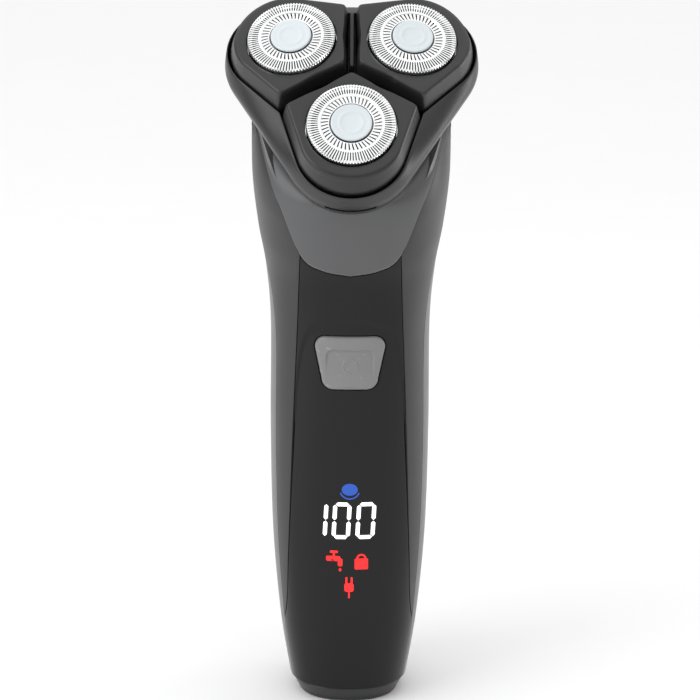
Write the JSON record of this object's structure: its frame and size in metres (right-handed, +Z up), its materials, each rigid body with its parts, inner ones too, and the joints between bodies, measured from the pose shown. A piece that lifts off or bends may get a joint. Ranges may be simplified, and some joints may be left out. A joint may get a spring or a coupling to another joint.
{
  "type": "electric shaver",
  "caption": "Cordless rotary shaver: tapered handle, leaning tri-lobe head that flips open, tilting pods with slotted guards and spinning cutters, power button, base port.",
  "frame": {"origin": "middle of the flat base, on the surface it stands on", "axes": "+Z up along the handle, -Y out of the front with the button, +X to the right seen from the front"},
  "size_m": [0.0582, 0.0594, 0.1705],
  "materials": {
    "satin_grey": "satin",
    "trim_grey": "satin",
    "collar_grey": "satin with a metallic tint",
    "piano_black": "high gloss",
    "satin_black": "satin",
    "button_grey": "satin",
    "dark_nylon": "matte",
    "white_nylon": "matte",
    "battery_wrap": "heat-shrink film",
    "board_green": "solder mask",
    "rubber": "matte",
    "tab_steel": "brushed",
    "display_light": "dark window with lit segments",
    "guard_chrome": "polished",
    "cap_pale": "satin",
    "cutter_steel": "ground"
  },
  "bodies": {
    "handle": {"rear_shell": "satin_grey", "front_panel": "piano_black", "side_trim_left": "trim_grey", "side_trim_right": "trim_grey", "neck_collar": "collar_grey", "base_cap": "satin_black", "chassis": "dark_nylon", "battery": "battery_wrap", "battery_tab_lower": "tab_steel", "battery_tab_upper": "tab_steel", "circuit_board": "board_green", "display_module": "display_light", "tact_switch": "tab_steel", "charge_board": "board_green", "usb_socket": "tab_steel", "drive_deck": "dark_nylon", "gear_plate": "tab_steel", "motor_can": "tab_steel", "motor_endcap": "white_nylon", "chamber_seal": "rubber", "hinge_bracket": "satin_black", "hinge_pin": "tab_steel", "plate_screw_1": "tab_steel", "plate_screw_2": "tab_steel", "plate_screw_3": "tab_steel"},
    "rotor": {"motor_shaft": "tab_steel", "pinion": "white_nylon"},
    "button": {"power_button": "button_grey"},
    "head": {"head_skirt": "satin_black", "head_frame": "satin_black"},
    "drive_lower": {"drive_gear_lower": "white_nylon", "spindle_lower": "white_nylon"},
    "pod_body_lower": {"pod_lower": "satin_black"},
    "guard_body_lower": {"guard_lower": "guard_chrome", "guard_cap_lower": "cap_pale"},
    "cutter_body_lower": {"cutter_lower": "cutter_steel"},
    "ring_body_lower": {"retaining_ring_lower": "dark_nylon"},
    "drive_right": {"drive_gear_right": "white_nylon", "spindle_right": "white_nylon"},
    "pod_body_right": {"pod_right": "satin_black"},
    "guard_body_right": {"guard_right": "guard_chrome", "guard_cap_right": "cap_pale"},
    "cutter_body_right": {"cutter_right": "cutter_steel"},
    "ring_body_right": {"retaining_ring_right": "dark_nylon"},
    "drive_left": {"drive_gear_left": "white_nylon", "spindle_left": "white_nylon"},
    "pod_body_left": {"pod_left": "satin_black"},
    "guard_body_left": {"guard_left": "guard_chrome", "guard_cap_left": "cap_pale"},
    "cutter_body_left": {"cutter_left": "cutter_steel"},
    "ring_body_left": {"retaining_ring_left": "dark_nylon"}
  },
  "joints": [
    {"name": "head_flip", "type": "hinge", "parent": "handle", "child": "head", "pos_m": [0, 0.01259, 0.16164], "axis": [-1, 0, 0], "range_deg": [0, 95]},
    {"name": "motor_spin", "type": "hinge", "parent": "handle", "child": "rotor", "pos_m": [0, -0.002, 0.14121], "axis": [0, -0.682, 0.7314], "continuous": true},
    {"name": "button_press", "type": "slide", "parent": "handle", "child": "button", "axis": [0, 1, 0], "range_m": [0, 0.0008], "stiffness_N_per_m": 900, "springref_m": -0.0005},
    {"name": "gear_spin_lower", "type": "hinge", "parent": "handle", "child": "drive_lower", "pos_m": [0, -0.01254, 0.13316], "axis": [0, -0.682, 0.7314], "continuous": true},
    {"name": "pod_tilt_lower", "type": "hinge", "parent": "head", "child": "pod_body_lower", "pos_m": [0, -0.03336, 0.13414], "axis": [-1, 0, 0], "range_deg": [0, 4], "stiffness_Nm_per_rad": 0.15, "springref_deg": -171.89},
    {"name": "guard_float_lower", "type": "slide", "parent": "pod_body_lower", "child": "guard_body_lower", "axis": [0, 0.7547, -0.6561], "range_m": [0, 0.001], "stiffness_N_per_m": 800, "springref_m": -0.0006},
    {"name": "cutter_spin_lower", "type": "hinge", "parent": "guard_body_lower", "child": "cutter_body_lower", "pos_m": [0, -0.02629, 0.14456], "axis": [0, -0.7547, 0.6561], "continuous": true},
    {"name": "ring_turn_lower", "type": "hinge", "parent": "pod_body_lower", "child": "ring_body_lower", "pos_m": [0, -0.02478, 0.14324], "axis": [0, -0.7547, 0.6561], "range_deg": [0, 25]},
    {"name": "gear_spin_right", "type": "hinge", "parent": "handle", "child": "drive_right", "pos_m": [0.01143, 0.00194, 0.14666], "axis": [0, -0.682, 0.7314], "continuous": true},
    {"name": "pod_tilt_right", "type": "hinge", "parent": "head", "child": "pod_body_right", "pos_m": [0.02404, -0.00291, 0.16254], "axis": [0.5, -0.6334, -0.5906], "range_deg": [0, 4], "stiffness_Nm_per_rad": 0.15, "springref_deg": -171.89},
    {"name": "guard_float_right", "type": "slide", "parent": "pod_body_right", "child": "guard_body_right", "axis": [-0.0905, 0.64, -0.763], "range_m": [0, 0.001], "stiffness_N_per_m": 800, "springref_m": -0.0006},
    {"name": "cutter_spin_right", "type": "hinge", "parent": "guard_body_right", "child": "cutter_body_right", "pos_m": [0.01341, -0.0093, 0.1604], "axis": [0.0905, -0.64, 0.763], "continuous": true},
    {"name": "ring_turn_right", "type": "hinge", "parent": "pod_body_right", "child": "ring_body_right", "pos_m": [0.01323, -0.00802, 0.15887], "axis": [0.0905, -0.64, 0.763], "range_deg": [0, 25]},
    {"name": "gear_spin_left", "type": "hinge", "parent": "handle", "child": "drive_left", "pos_m": [-0.01143, 0.00194, 0.14666], "axis": [0, -0.682, 0.7314], "continuous": true},
    {"name": "pod_tilt_left", "type": "hinge", "parent": "head", "child": "pod_body_left", "pos_m": [-0.02404, -0.00291, 0.16254], "axis": [0.5, 0.6334, 0.5906], "range_deg": [0, 4], "stiffness_Nm_per_rad": 0.15, "springref_deg": -171.89},
    {"name": "guard_float_left", "type": "slide", "parent": "pod_body_left", "child": "guard_body_left", "axis": [0.0905, 0.64, -0.763], "range_m": [0, 0.001], "stiffness_N_per_m": 800, "springref_m": -0.0006},
    {"name": "cutter_spin_left", "type": "hinge", "parent": "guard_body_left", "child": "cutter_body_left", "pos_m": [-0.01341, -0.0093, 0.1604], "axis": [-0.0905, -0.64, 0.763], "continuous": true},
    {"name": "ring_turn_left", "type": "hinge", "parent": "pod_body_left", "child": "ring_body_left", "pos_m": [-0.01323, -0.00802, 0.15887], "axis": [-0.0905, -0.64, 0.763], "range_deg": [0, 25]}
  ],
  "couplings": [
    {"joint": "gear_spin_lower", "follows": "motor_spin", "ratio": -0.73684},
    {"joint": "cutter_spin_lower", "follows": "motor_spin", "ratio": -0.73684},
    {"joint": "gear_spin_right", "follows": "motor_spin", "ratio": -0.73684},
    {"joint": "cutter_spin_right", "follows": "motor_spin", "ratio": -0.73684},
    {"joint": "gear_spin_left", "follows": "motor_spin", "ratio": -0.73684},
    {"joint": "cutter_spin_left", "follows": "motor_spin", "ratio": -0.73684}
  ]
}
